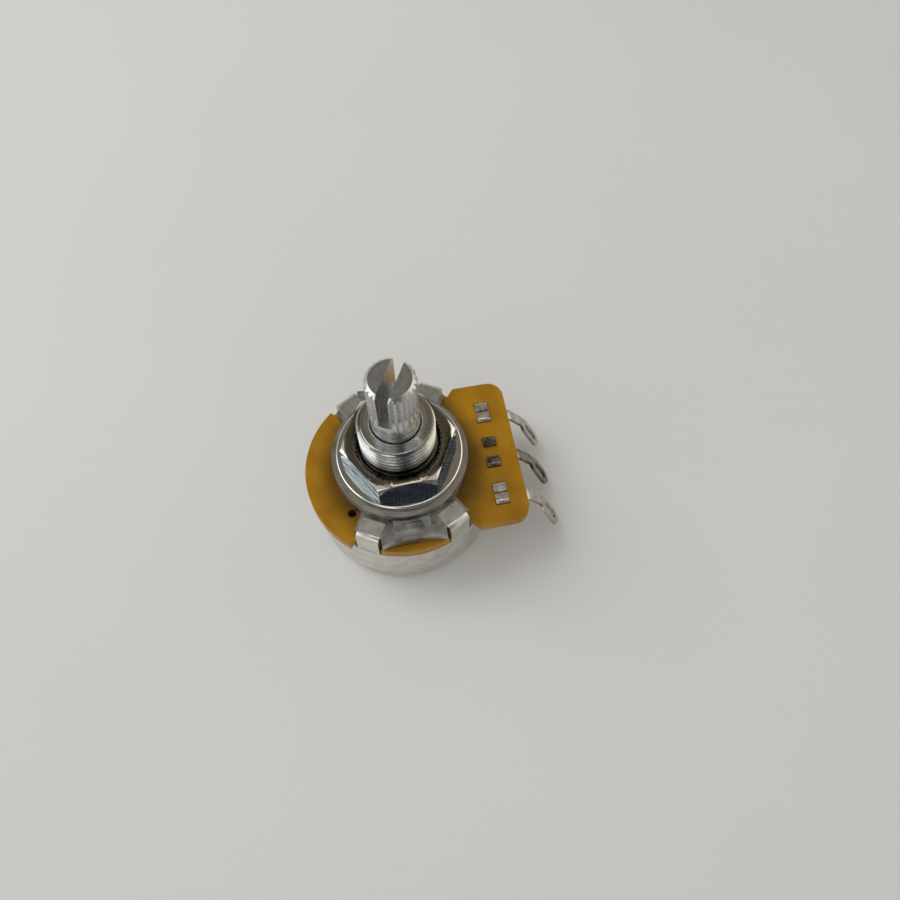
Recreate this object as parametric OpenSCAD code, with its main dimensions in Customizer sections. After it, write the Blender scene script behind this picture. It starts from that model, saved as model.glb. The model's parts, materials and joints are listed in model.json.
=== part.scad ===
// Full-size rotary potentiometer with a threaded bushing and a split, splined shaft.
// Origin: centre of the can's back face. +Z runs along the shaft, +X towards the solder lugs.
// All sizes are in millimetres.

/* [Can] */
// Outer diameter of the drawn steel can
can_d = 24; // [22:0.1:26]
// Height of the can from its back face to the rim that carries the board
can_h = 8; // [7.6:0.1:10]
// Thickness of the can's sheet
sheet_t = 0.6; // [0.4:0.05:0.8]
// Outer radius where the back face turns into the wall
can_round = 1.2; // [0.8:0.1:2]
// Width of each of the four clamping tabs
tab_w = 3; // [2.4:0.1:3.4]
// Angle of each tab from the +X or -X axis
tab_angle = 60; // [57:0.5:63]
// Length of a tab's folded part, measured inwards from the wall
tab_fold = 2.7; // [2:0.1:3]
// Step from the wall's outer face in to a tab's outer face
tab_inset = 0.12; // [0.08:0.01:0.3]
// Inner radius of the bend of a tab
tab_bend = 0.2; // [0.1:0.05:0.3]
// Depth of the window in the rim that the terminals leave through
window_depth = 1.6; // [1.2:0.1:2]
// Half of the angle that this window spans
window_angle = 46; // [40:1:48]
// Radius of the pressed-in stop, on its inner side
stop_r = 2; // [1.6:0.1:2.4]
// Step from the wall's outer face in to the stop's axis
stop_inset = 0.2; // [0.1:0.05:0.4]

/* [Board] */
// Thickness of the phenolic board
board_t = 1.6; // [1.2:0.1:2]
// How far the board's rounded side stands out past the can
board_overhang = 0.6; // [0.3:0.1:1]
// How far the board's tail stands out past the can
tail_out = 3.3; // [2.6:0.1:5]
// Width of the tail past the middle of an outer terminal
tail_margin = 4.15; // [3.8:0.05:4.6]
// Corner radius of the tail
tail_round = 2.1; // [1:0.1:3]
// Side gap between a tab and its notch in the board
tab_gap = 0.25; // [0.15:0.05:0.4]
// Gap around the thrust washer in the board's middle hole
hole_margin = 0.5; // [0.3:0.05:0.7]
// Diameter of the small locating hole
pip_d = 1.1; // [0.8:0.1:1.4]
// Step from the can's wall in to the locating hole's axis
pip_inset = 2.92; // [2.6:0.02:3]
// Direction of the locating hole
pip_angle = 216.9; // [212:0.1:220]

/* [Track] */
// Step from the inside of the can's wall in to the carbon track
track_margin = 0.8; // [0.7:0.05:1.2]
// Width of the track
track_w = 2.2; // [1.9:0.1:2.4]
// Step from the board's middle hole out to the collector ring
collector_margin = 0.4; // [0.3:0.05:0.7]
// Width of the collector ring
collector_w = 1.6; // [1.4:0.1:1.8]
// Angle from the end of the travel back to the track's end
track_trim = 3; // [2:0.5:4]
// Thickness of the printed layers
ink_t = 0.1; // [0.06:0.01:0.15]

/* [Terminals] */
// Thickness of the terminals' strip
lug_t = 0.4; // [0.3:0.05:0.5]
// Distance between neighbouring terminals
lug_pitch = 6.05; // [5.7:0.05:6.3]
// Sideways offset of the whole row of terminals
row_offset = -0.2; // [-0.4:0.05:0.4]
// Step from the can's wall out to the middle of the prongs
prong_out = 0; // [-0.2:0.1:0.4]
// Width of each prong
prong_w = 1.7; // [1.4:0.1:1.9]
// Distance over the pair of prongs of an outer terminal
pair_w = 3; // [2.9:0.1:3.3]
// Distance over the pair of prongs of the middle terminal
wiper_pair_w = 4.4; // [4.1:0.1:4.6]
// Length of a prong's folded end
prong_fold = 1.4; // [1.2:0.05:1.42]
// How far the foot under the board reaches inwards past the prongs
foot_in = 0.6; // [0.4:0.05:0.8]
// How far the foot reaches outwards past the prongs
foot_out = 0.35; // [0.25:0.05:0.6]
// Width of the strip between board and eye
neck_w = 1.45; // [1.2:0.05:1.7]
// Width of the eye
eye_w = 2.5; // [2.3:0.1:2.8]
// Length of the eye's straight blade
eye_len = 4.6; // [3.8:0.1:4.8]
// Width of the slot in the eye
eye_slot_w = 1; // [0.8:0.05:1.2]
// Length of the slot in the eye
eye_slot_len = 2.9; // [2.4:0.1:3]
// Length of the slanting stretch between the two bends
slant_len = 2.8; // [2.4:0.1:3.2]
// First bend, at the edge of the board
bend_a = 54; // [48:1:56]
// Second bend, above the eye
bend_b = 5; // [2:1:10]
// Sideways lean of the eye in its own plane
eye_lean = 25; // [0:1:28]

/* [Bushing] */
// Outer diameter of the bushing's thread
bushing_d = 9.525; // [9:0.005:10]
// Step from the outer to the mean diameter of the thread
thread_step = 0.525; // [0.45:0.005:0.65]
// Height of the bushing above the plate's boss
bushing_h = 9.45; // [8.6:0.05:12.7]
// Chamfer at the bushing's mouth
bushing_chamfer = 0.35; // [0.2:0.05:0.5]
// Thickness of the plate at the ears under the tabs
ear_t = 1.8; // [1.5:0.1:2.2]
// Height of the round boss above the ears
boss_h = 1.35; // [1:0.05:1.6]
// Width of an ear that shows on each side of its tab
ear_side = 0.55; // [0.4:0.05:0.7]
// Step from the can's wall in to the plate's end
plate_inset = 0.75; // [0.7:0.05:1]
// Side gap between the plate's end and the tabs beside it
end_gap = 0.49; // [0.42:0.01:0.8]
// Depth of the hollow curve of the plate's end
end_hollow = 0.25; // [0.1:0.05:0.4]
// Width of the raised rib on the plate's end
rib_w = 4.6; // [4:0.1:5]
// Height of this rib above the ear
rib_h = 0.8; // [0.5:0.05:1]
// Length of the slope at the rib's front
rib_slope = 0.55; // [0.3:0.05:0.7]
// Width of the pocket in the rib
pocket_w = 2.4; // [2:0.1:2.8]
// Length of the pocket
pocket_len = 0.9; // [0.7:0.05:1]

/* [Nut and washers] */
// Width across the nut's flats
nut_af = 12.7; // [12:0.1:14]
// Thickness of the nut
nut_h = 3.2; // [2.4:0.1:3.4]
// Turn of the nut as it was tightened
nut_turn = 1.7; // [0:0.1:60]
// Depth of the countersink at the nut's thread
nut_sink = 0.55; // [0.3:0.05:0.7]
// Width of the lock washer, from its hole to its rim
lock_rim = 3.8; // [3.6:0.05:4]
// How far the lock washer stands out past the plate's boss
lock_overhang = 0.4; // [0.2:0.05:0.6]
// Height of the lock washer over its twisted teeth
lock_h = 0.8; // [0.75:0.01:0.85]
// Number of teeth
lock_teeth = 12; // [10:1:14]
// Length of a tooth
tooth_len = 2.06; // [1.8:0.02:2.3]
// Width of a tooth
tooth_w = 1.3; // [1.1:0.05:1.5]
// Thickness of the flat washer's visible edge bevel
washer_edge = 0.15; // [0.1:0.01:0.2]
// Width of the flat washer, from its hole to its rim
washer_rim = 3.15; // [2.9:0.05:3.3]
// Thickness of the flat washer
washer_t = 0.8; // [0.6:0.05:1]

/* [Shaft] */
// Diameter of the shaft
shaft_d = 6; // [5.8:0.05:6.35]
// Length of the shaft above the bushing
shaft_out = 9.6; // [9:0.1:12]
// Length of the splines at their full depth
spline_len = 5.1; // [4.6:0.1:5.5]
// Length over which the grooves run out below them
spline_runout = 1.2; // [0.8:0.1:1.4]
// Number of splines
splines = 24; // [18:1:24]
// Depth of the grooves between the splines
spline_depth = 0.28; // [0.2:0.02:0.34]
// Width of the slot that splits the shaft
split_w = 1.5; // [1:0.1:1.8]
// Depth of this slot
split_depth = 6.3; // [5.5:0.1:6.5]
// Direction of the slot at mid travel
split_angle = 61; // [0:0.5:180]
// Chamfer at the shaft's tip
tip_chamfer = 0.5; // [0.3:0.05:0.7]
// Height of the turned neck above the bushing
relief_up = 1.1; // [0.8:0.1:1.4]
// Length of this neck
relief_len = 0.5; // [0.3:0.1:0.8]
// Depth of this neck
relief_depth = 0.15; // [0.1:0.05:0.25]
// Depth of the groove for the retaining ring
groove_depth = 0.5; // [0.3:0.05:0.6]

/* [Rotor] */
// Turning range of the shaft
travel = 300; // [270:1:300]
// Width of the retaining ring
ring_w = 1.8; // [1.5:0.1:2]
// Thickness of the retaining ring
ring_t = 0.5; // [0.4:0.05:0.6]
// Width of the thrust washer outside the shaft
thrust_w = 1.5; // [1.3:0.05:1.7]
// Thickness of the thrust washer
thrust_t = 0.5; // [0.4:0.05:0.6]
// Gap between the contact carrier's disc and the can's wall
carrier_gap = 3.4; // [3:0.1:3.8]
// How far the carrier's arm reaches past the track's outer edge
arm_cover = 0.2; // [0:0.05:0.25]
// Thickness of the contact carrier
carrier_t = 1.6; // [1.3:0.1:1.8]
// Thickness of the stop plate
stop_plate_t = 0.8; // [0.6:0.05:0.9]
// Gap between the stop arm's end and the can's wall
stop_arm_gap = 0.5; // [0.4:0.05:0.7]
// Height of the staked end below the stop plate
stake_h = 0.5; // [0.4:0.05:0.7]
// How far the staked end spreads past the shaft's flattened end
stake_over = 0.5; // [0.3:0.05:0.7]
// Diameter of the shaft's flattened end
tenon_d = 4.8; // [4.4:0.1:5]
// Width across the flats of this end
tenon_flats = 3.8; // [3.4:0.1:4]
// Height from the carrier's top to the track
contact_rise = 2.5; // [2.3:0.1:2.7]
// Thickness of the contact spring
spring_t = 0.25; // [0.15:0.01:0.3]
// Width of one contact finger
finger_w = 0.35; // [0.25:0.01:0.38]
// Gap between two fingers
finger_gap = 0.12; // [0.08:0.01:0.16]
// Slope of the fingers
finger_slope = 35; // [30:1:40]

/* [Clearances] */
// Radial running clearance between shaft and bushing
shaft_clearance = 0.05; // [0.02:0.01:0.08]
// Play between faces that turn past each other
face_play = 0.1; // [0.05:0.01:0.15]
// Gap left between a contact and its track
contact_gap = 0.05; // [0.02:0.01:0.1]
// Radial gap in the thread between nut and bushing
thread_gap = 0.02; // [0.01:0.01:0.05]
// Radial gap between the washers and the thread
washer_gap = 0.14; // [0.1:0.01:0.2]
// Gap between a prong and its hole in the board
prong_gap = 0.06; // [0.03:0.01:0.1]
// Angle left between stop arm and stop at the end of travel
stop_play = 0.4; // [0.2:0.1:1]

/* [Hidden] */
$fn = 96;

can_r = can_d / 2;
wall_r = can_r - sheet_t;
bushing_r = bushing_d / 2;
shaft_r = shaft_d / 2;
bore_r = shaft_r + shaft_clearance;
thread_mean_d = bushing_d - thread_step;

// A straight stretch of strip reaches this far into the bend after it
join = 0.01;

// Washers on the thread, and the boss under them
washer_hole_r = bushing_r + washer_gap;
lock_d = 2 * (washer_hole_r + lock_rim);
washer_d = 2 * (washer_hole_r + washer_rim);
boss_d = lock_d - 2 * lock_overhang;

// Heights of the stack above the back face
board_z = can_h;
board_top = board_z + board_t;
ear_top = board_top + ear_t;
boss_top = ear_top + boss_h;
lock_top = boss_top + lock_h;
washer_top = lock_top + washer_t;
nut_top = washer_top + nut_h;
bushing_top = boss_top + bushing_h;
shaft_top = bushing_top + shaft_out;
tip_r = shaft_r - tip_chamfer;

// Heights of the rotor's stack, counted down from the printed side of the board
track_z = board_z - ink_t;
carrier_top = track_z - contact_rise;
carrier_z = carrier_top - carrier_t;
stop_plate_z = carrier_z - stop_plate_t;
stake_z = stop_plate_z - stake_h;
stake_r = tenon_d / 2 + stake_over;
carrier_d = 2 * (wall_r - carrier_gap);
stop_arm_r = wall_r - stop_arm_gap;

// Retaining ring and thrust washer just under the bushing plate
thrust_z = board_top - face_play - thrust_t;
ring_z = thrust_z - ring_t;
groove_z = ring_z - face_play / 2;
groove_h = ring_t + face_play;
groove_r = shaft_r - groove_depth;
ring_r = groove_r + ring_w;
thrust_r = shaft_r + thrust_w;
board_hole_d = 2 * (thrust_r + hole_margin);

// Tabs and the notches that they pass through
tab_face_r = can_r - tab_inset;
notch_r = tab_face_r - sheet_t - tab_gap;
notch_w = tab_w + 2 * tab_gap;
tab_angles = [tab_angle, 180 - tab_angle, 180 + tab_angle, -tab_angle];
tail_angle = tab_angle - 10.4;

// Outline of the casting between the tabs
plate_end = can_r - plate_inset;
plate_end_w = 2 * (tab_face_r * cos(tab_angle) - tab_w / 2 * sin(tab_angle) - end_gap);
ear_w = tab_w + 2 * ear_side;

// Stop pressed into the wall below the terminals
stop_x = can_r - stop_inset;
stop_z0 = stop_plate_z - 1;
stop_z1 = can_h - window_depth - 0.4;
stop_half = acos((stop_arm_r ^ 2 + stop_x ^ 2 - stop_r ^ 2) / (2 * stop_arm_r * stop_x));
arm_half = 180 - travel / 2 - stop_half - stop_play;

// Terminals
prong_x = can_r + prong_out;
tail_x = can_r + tail_out;
tail_w = 2 * (lug_pitch + tail_margin);
foot_z = track_z - lug_t;
foot_x0 = prong_x - prong_w / 2 - foot_in;
foot_x1 = prong_x + prong_w / 2 + foot_out;
prong_bend = 0.1;
slant_x = tail_x + 0.05;
outer_y = [lug_pitch + row_offset, row_offset, -lug_pitch + row_offset];

// Printed layers under the board
track_d = 2 * (wall_r - track_margin);
track_in = track_d / 2 - track_w;
track_half = travel / 2 - track_trim;
collector_d = board_hole_d + 2 * collector_margin;
pad_half = 22;
pad_w = pair_w;

// Contact fingers: the straight part's length brings the tip just under the track
finger_pitch = finger_w + finger_gap;
finger_bend = 0.3;
finger_rise = contact_rise - spring_t - contact_gap;
finger_len = (finger_rise - (2 * finger_bend + spring_t) * (1 - cos(finger_slope))) / sin(finger_slope);
arm_edge = 1.2;
arm_w = 1.5;

// Part of a circle between two angles, as a wedge that reaches past radius r
module wedge(r, a0, a1) {
    steps = max(1, ceil((a1 - a0) / 30));
    far = r / cos((a1 - a0) / steps / 2) + 1;
    polygon(concat([[0, 0]], [for (i = [0:steps]) let (a = a0 + (a1 - a0) * i / steps) far * [cos(a), sin(a)]]));
}

module ring_sector(r0, r1, a0, a1) {
    intersection() {
        difference() {
            circle(r1);
            circle(r0);
        }
        wedge(r1, a0, a1);
    }
}

// Round bar with two flats, as a flat outline
module double_d(d, flats) {
    intersection() {
        circle(d = d);
        square([d + 1, flats], center = true);
    }
}

// One bend of a strip: a positive angle turns it down, a negative one up
module strip_bend(angle, radius, width, t) {
    turn = abs(angle);
    up = angle < 0;
    translate([0, 0, up ? t + radius : -radius])
        rotate([90, 0, 0])
            rotate(up ? -90 : 90 - turn)
                rotate_extrude(angle = turn)
                    translate([radius, -width / 2])
                        square([t, width]);
}

// Folded strip: each step is [straight length, bend angle, inner radius]; children follow its end
module strip(steps, width, t, i = 0) {
    if (i < len(steps)) {
        length = steps[i][0];
        angle = steps[i][1];
        radius = steps[i][2];
        hinge_z = angle < 0 ? t + radius : -radius;
        translate([0, -width / 2, 0])
            cube([length + (angle != 0 ? join : 0), width, t]);
        translate([length, 0, 0]) {
            if (angle != 0)
                strip_bend(angle, radius, width, t);
            translate([0, 0, hinge_z])
                rotate([0, angle, 0])
                    translate([0, 0, -hinge_z])
                        strip(steps, width, t, i + 1)
                            children();
        }
    } else {
        children();
    }
}

// Half profile of the drawn cup, from the axis to the rim
module cup_profile() {
    inner_round = can_round - sheet_t;
    difference() {
        union() {
            square([can_r - can_round, can_h]);
            translate([0, can_round])
                square([can_r, can_h - can_round]);
            translate([can_r - can_round, can_round])
                circle(can_round);
        }
        translate([-1, sheet_t + inner_round])
            square([can_r - sheet_t + 1, can_h]);
        translate([-1, sheet_t])
            square([can_r - can_round + 1, can_h]);
        translate([can_r - can_round, can_round])
            circle(inner_round);
        translate([-can_r, -1])
            square([can_r, can_h + 2]);
    }
}

// Clamping tab: it rises from the rim and folds flat over the plate's ear
module tab() {
    rise = ear_top - tab_bend - board_z + 1;
    flat = tab_fold - sheet_t - tab_bend;
    translate([tab_face_r - sheet_t, 0, board_z - 1])
        rotate([0, -90, 180])
            strip([[rise, 90, tab_bend], [flat, 0, 0]], tab_w, sheet_t);
}

module can() {
    color("gainsboro")
        difference() {
            union() {
                rotate_extrude()
                    cup_profile();
                for (a = tab_angles)
                    rotate(a)
                        tab();
                intersection() {
                    translate([stop_x, 0, stop_z0])
                        cylinder(r = stop_r, h = stop_z1 - stop_z0);
                    translate([0, 0, stop_z0 - 1])
                        cylinder(r = can_r - sheet_t / 2, h = can_h);
                }
            }
            translate([stop_x, 0, stop_z0 + sheet_t])
                cylinder(r = stop_r - sheet_t, h = stop_z1 - stop_z0 - 2 * sheet_t);
            translate([0, 0, can_h - window_depth])
                linear_extrude(window_depth + 1)
                    wedge(can_r + 1, -window_angle, window_angle);
        }
}

// Flat outline of the board with its notches, before the holes
module board_outline() {
    difference() {
        union() {
            circle(can_r);
            intersection() {
                circle(can_r + board_overhang);
                wedge(can_r + board_overhang, 180 - 50, 180 + 50);
            }
            intersection() {
                tail_outline();
                wedge(tail_x + tail_w / 2, -tail_angle, tail_angle);
            }
        }
        for (a = tab_angles)
            rotate(a)
                translate([notch_r, -notch_w / 2])
                    square([can_r, notch_w]);
    }
}

module tail_outline() {
    translate([0, -tail_w / 2])
        square([tail_x - tail_round, tail_w]);
    translate([0, tail_round - tail_w / 2])
        square([tail_x, tail_w - 2 * tail_round]);
    for (side = [-1, 1])
        translate([tail_x - tail_round, side * (tail_w / 2 - tail_round)])
            circle(tail_round);
}

// Pair of holes for a terminal's prongs
module prong_holes(y, pair) {
    hole_w = lug_t + 2 * prong_gap;
    for (side = [-1, 1])
        translate([prong_x, y + side * (pair - lug_t) / 2])
            square([prong_w + 2 * prong_gap, hole_w], center = true);
}

module terminal_board() {
    color("darkgoldenrod")
        translate([0, 0, board_z])
            linear_extrude(board_t)
                difference() {
                    board_outline();
                    circle(d = board_hole_d);
                    rotate(pip_angle)
                        translate([can_r - pip_inset, 0])
                            circle(d = pip_d);
                    prong_holes(outer_y[0], pair_w);
                    prong_holes(outer_y[1], wiper_pair_w);
                    prong_holes(outer_y[2], pair_w);
                }
}

module track_outline() {
    ring_sector(track_in, track_d / 2, 180 - track_half, 180 + track_half);
}

module carbon_track() {
    color("dimgray")
        translate([0, 0, track_z])
            linear_extrude(ink_t)
                track_outline();
}

// Silver pad between one end of the track and the foot of its terminal
module end_land(y) {
    side = sign(y);
    gap_half = 180 - track_half;
    color("silver")
        translate([0, 0, track_z])
            linear_extrude(ink_t)
                difference() {
                    union() {
                        ring_sector(track_in, track_d / 2,
                            side > 0 ? pad_half : -gap_half, side > 0 ? gap_half : -pad_half);
                        translate([track_in + 0.4, y - pad_w / 2 + 0.4])
                            square([foot_x1 - track_in - 0.4, pad_w - 0.8]);
                    }
                    track_outline();
                    prong_holes(y, pair_w);
                }
}

module start_pad() {
    end_land(outer_y[0]);
}

module end_pad() {
    end_land(outer_y[2]);
}

module collector_ring() {
    color("silver")
        translate([0, 0, track_z])
            linear_extrude(ink_t)
                difference() {
                    union() {
                        circle(collector_d / 2 + collector_w);
                        translate([0, outer_y[1] - pad_w / 2 + 0.4])
                            square([foot_x1, pad_w - 0.8]);
                    }
                    circle(d = collector_d);
                    prong_holes(outer_y[1], wiper_pair_w);
                }
}

// Flat blade of a solder lug with its rounded ends and slot
module lug_eye() {
    end_r = eye_w / 2;
    slot_r = eye_slot_w / 2;
    slot_x = eye_len - end_r;
    linear_extrude(lug_t)
        difference() {
            union() {
                translate([0, -neck_w / 2])
                    square([end_r, neck_w]);
                translate([end_r, -end_r])
                    square([eye_len - 2 * end_r, eye_w]);
                for (x = [end_r, eye_len - end_r])
                    translate([x, 0])
                        circle(end_r);
            }
            for (x = [slot_x, slot_x - eye_slot_len + eye_slot_w])
                translate([x, 0])
                    circle(slot_r);
            translate([slot_x - eye_slot_len + eye_slot_w, -slot_r])
                square([eye_slot_len - eye_slot_w, eye_slot_w]);
        }
}

// One terminal: a foot under the board, two clinched prongs and the bent solder lug
module terminal(y, pair) {
    prong_rise = board_top - prong_bend - foot_z;
    translate([0, y, 0]) {
        translate([foot_x0, -pair / 2, foot_z])
            cube([foot_x1 - foot_x0, pair, lug_t]);
        for (side = [0, 1])
            mirror([0, side, 0])
                translate([prong_x, pair / 2 - lug_t, foot_z])
                    rotate([0, -90, -90])
                        strip([[prong_rise, 90, prong_bend], [prong_fold - lug_t - prong_bend, 0, 0]],
                            prong_w, lug_t);
        translate([foot_x1 - 0.2, 0, foot_z])
            strip([[slant_x - foot_x1 + 0.2, bend_a, 0.4], [slant_len, bend_b, 2]], neck_w, lug_t)
                rotate(-eye_lean)
                    lug_eye();
    }
}

module start_terminal() {
    color("silver")
        terminal(outer_y[0], pair_w);
}

module wiper_terminal() {
    color("rosybrown")
        terminal(outer_y[1], wiper_pair_w);
}

module end_terminal() {
    color("silver")
        terminal(outer_y[2], pair_w);
}

// Outline of the casting where it lies on the board and runs under the four tabs
module plate_outline() {
    hollow_r = (plate_end_w ^ 2 / 4 + end_hollow ^ 2) / (2 * end_hollow);
    difference() {
        union() {
            for (a = tab_angles)
                rotate(a)
                    translate([0, -ear_w / 2])
                        square([notch_r, ear_w]);
            circle(d = boss_d + 0.4);
            square([plate_end_w, 2 * plate_end], center = true);
        }
        for (side = [-1, 1])
            translate([0, side * (plate_end - end_hollow + hollow_r)])
                circle(hollow_r, $fn = 360);
    }
}

// Raised rib across the plate, with a slope at both ends
module rib() {
    rib_end = plate_end - end_hollow - 0.35;
    translate([-rib_w / 2, 0, ear_top - 0.1])
        rotate([90, 0, 90])
            linear_extrude(rib_w)
                polygon([
                    [-rib_end, 0],
                    [rib_end, 0],
                    [rib_end - rib_slope, rib_h + 0.1],
                    [rib_slope - rib_end, rib_h + 0.1]
                ]);
}

module bushing_plate() {
    pocket_y = boss_d / 2 + 1.2;
    color("lightsteelblue")
        difference() {
            union() {
                translate([0, 0, board_top])
                    linear_extrude(ear_t)
                        plate_outline();
                rib();
                translate([0, 0, ear_top - 0.1])
                    cylinder(d = boss_d, h = boss_h + 0.1);
                translate([0, 0, boss_top - 0.1])
                    cylinder(d = bushing_d, h = washer_top - boss_top + 0.1);
                translate([0, 0, boss_top])
                    cylinder(d = thread_mean_d, h = bushing_h);
                translate([0, 0, nut_top])
                    cylinder(d = bushing_d, h = bushing_top - bushing_chamfer - nut_top);
                translate([0, 0, bushing_top - bushing_chamfer])
                    cylinder(r1 = bushing_r, r2 = bushing_r - bushing_chamfer, h = bushing_chamfer);
            }
            translate([0, 0, board_top - 1])
                cylinder(r = bore_r, h = shaft_top);
            translate([0, 0, bushing_top - 0.25])
                cylinder(r1 = bore_r, r2 = bore_r + 0.35, h = 0.35);
            for (side = [-1, 1])
                translate([0, side * pocket_y, ear_top + rib_h])
                    cube([pocket_w, pocket_len, 1], center = true);
        }
}

// Washer with inner teeth, each tooth twisted about its own length
module lock_washer() {
    ring_h = lock_h - 0.2;
    hole_r = washer_hole_r;
    web_r = hole_r + tooth_len;
    tooth_t = 0.5;
    color("silver")
        translate([0, 0, boss_top]) {
            translate([0, 0, (lock_h - ring_h) / 2])
                difference() {
                    cylinder(d = lock_d, h = ring_h);
                    translate([0, 0, -1])
                        cylinder(r = web_r, h = ring_h + 2);
                }
            for (i = [0:lock_teeth - 1])
                rotate(360 / lock_teeth * i)
                    translate([hole_r + 0.1, 0, lock_h / 2])
                        rotate([12, 0, 0])
                            translate([0, -tooth_w / 2, -tooth_t / 2])
                                cube([web_r - hole_r + 0.2, tooth_w, tooth_t]);
        }
}

module flat_washer() {
    flat_h = washer_t - washer_edge;
    color("whitesmoke")
        translate([0, 0, lock_top])
            difference() {
                union() {
                    cylinder(d = washer_d, h = flat_h);
                    translate([0, 0, flat_h])
                        cylinder(r1 = washer_d / 2, r2 = washer_d / 2 - washer_edge, h = washer_edge);
                }
                translate([0, 0, -1])
                    cylinder(r = washer_hole_r, h = washer_t + 2);
            }
}

// Hexagon nut with chamfered corners and countersunk thread
module hex_nut() {
    crown_r = nut_af / 2 - 0.1;
    skirt_r = crown_r + nut_h / tan(30);
    hole_r = thread_mean_d / 2 + thread_gap;
    color("lightgray")
        translate([0, 0, washer_top])
            difference() {
                intersection() {
                    rotate(nut_turn)
                        cylinder(d = nut_af / cos(30), h = nut_h, $fn = 6);
                    cylinder(r1 = crown_r, r2 = skirt_r, h = nut_h);
                    cylinder(r1 = skirt_r, r2 = crown_r, h = nut_h);
                }
                translate([0, 0, -1])
                    cylinder(r = hole_r, h = nut_h + 2);
                translate([0, 0, nut_h - nut_sink])
                    cylinder(r1 = hole_r, r2 = bushing_r + 0.65, h = nut_sink);
                translate([0, 0, -0.01])
                    cylinder(r1 = washer_hole_r, r2 = hole_r, h = nut_sink);
            }
}

// Cross-section of the splined end
module spline_section() {
    groove = spline_depth * sqrt(2);
    difference() {
        circle(shaft_r);
        for (i = [0:splines - 1])
            rotate(360 / splines * (i + 0.5))
                translate([shaft_r, 0])
                    rotate(45)
                        square(groove, center = true);
    }
}

module shaft() {
    spline_z = shaft_top - spline_len;
    runout_z = spline_z - spline_runout;
    relief_z = bushing_top + relief_up;
    color("darkgray")
        difference() {
            union() {
                translate([0, 0, groove_z + groove_h])
                    cylinder(r = shaft_r, h = relief_z - groove_z - groove_h);
                translate([0, 0, relief_z])
                    cylinder(r = shaft_r - relief_depth, h = relief_len);
                translate([0, 0, relief_z + relief_len])
                    cylinder(r = shaft_r, h = runout_z - relief_z - relief_len);
                translate([0, 0, runout_z])
                    cylinder(r1 = shaft_r, r2 = shaft_r - spline_depth - 0.05, h = spline_runout);
                translate([0, 0, groove_z])
                    cylinder(r = groove_r, h = groove_h);
                translate([0, 0, carrier_top + spring_t])
                    cylinder(r = shaft_r, h = groove_z - carrier_top - spring_t);
                translate([0, 0, stop_plate_z])
                    linear_extrude(carrier_top + spring_t - stop_plate_z)
                        double_d(tenon_d, tenon_flats);
                translate([0, 0, stake_z])
                    cylinder(r1 = stake_r - 0.3, r2 = stake_r, h = stake_h);
                intersection() {
                    translate([0, 0, runout_z])
                        linear_extrude(spline_runout + spline_len)
                            spline_section();
                    union() {
                        translate([0, 0, runout_z])
                            cylinder(r = shaft_r, h = spline_runout + spline_len - tip_chamfer);
                        translate([0, 0, shaft_top - tip_chamfer])
                            cylinder(r1 = shaft_r, r2 = tip_r, h = tip_chamfer);
                    }
                }
            }
            rotate(split_angle)
                translate([-shaft_d, -split_w / 2, shaft_top - split_depth])
                    cube([2 * shaft_d, split_w, split_depth + 1]);
        }
}

// Open ring that snaps into the shaft's groove
module retaining_ring() {
    color("slategray")
        translate([0, 0, ring_z])
            linear_extrude(ring_t)
                difference() {
                    circle(ring_r);
                    circle(groove_r);
                    translate([0, -groove_r * 0.8])
                        square([ring_r + 1, groove_r * 1.6]);
                }
}

module thrust_washer() {
    color("peru")
        translate([0, 0, thrust_z])
            linear_extrude(thrust_t)
                difference() {
                    circle(thrust_r);
                    circle(bore_r);
                }
}

// Arm of the rotor's plates, centred on the wiper's side
module arm_outline(r, half) {
    intersection() {
        circle(r);
        wedge(r, 180 - half, 180 + half);
    }
}

// Steel plate staked to the shaft, whose arm meets the can's stop
module stop_plate() {
    color("lightgray")
        translate([0, 0, stop_plate_z])
            linear_extrude(stop_plate_t)
                difference() {
                    union() {
                        circle(r = tenon_d);
                        arm_outline(stop_arm_r, arm_half);
                    }
                    double_d(tenon_d, tenon_flats);
                }
}

// Insulating disc that carries the contact spring
module contact_carrier() {
    color("saddlebrown")
        translate([0, 0, carrier_z])
            linear_extrude(carrier_t)
                difference() {
                    union() {
                        circle(d = carrier_d);
                        arm_outline(track_d / 2 + arm_cover, arm_half);
                    }
                    double_d(tenon_d, tenon_flats);
                }
}

// Row of spring fingers that start at a straight edge and rise towards the board
module fingers(count, radius) {
    for (i = [0:count - 1])
        translate([radius + (i - (count - 1) / 2) * finger_pitch, arm_edge, 0])
            rotate(-90)
                strip([[0.3, -finger_slope, finger_bend], [finger_len, 2 * finger_slope, finger_bend],
                    [0.3, 0, 0]], finger_w, spring_t);
}

module wiper_contact() {
    track_mid = track_d / 2 - track_w / 2;
    collector_mid = collector_d / 2 + collector_w / 2;
    track_count = floor(track_w / finger_pitch);
    collector_count = floor(collector_w / finger_pitch);
    color("goldenrod")
        translate([0, 0, carrier_top])
            rotate(180) {
                linear_extrude(spring_t)
                    difference() {
                        union() {
                            circle(r = tenon_d - 0.2);
                            translate([0, arm_edge])
                                square([track_mid + track_count * finger_pitch / 2, arm_w]);
                            translate([0, -arm_edge - arm_w])
                                square([collector_mid + collector_count * finger_pitch / 2, arm_w]);
                        }
                        double_d(tenon_d, tenon_flats);
                    }
                fingers(track_count, track_mid);
                mirror([0, 1, 0])
                    fingers(collector_count, collector_mid);
            }
}

can();
terminal_board();
carbon_track();
start_pad();
end_pad();
collector_ring();
start_terminal();
wiper_terminal();
end_terminal();
bushing_plate();
lock_washer();
flat_washer();
hex_nut();
shaft();
retaining_ring();
thrust_washer();
stop_plate();
contact_carrier();
wiper_contact();
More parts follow.
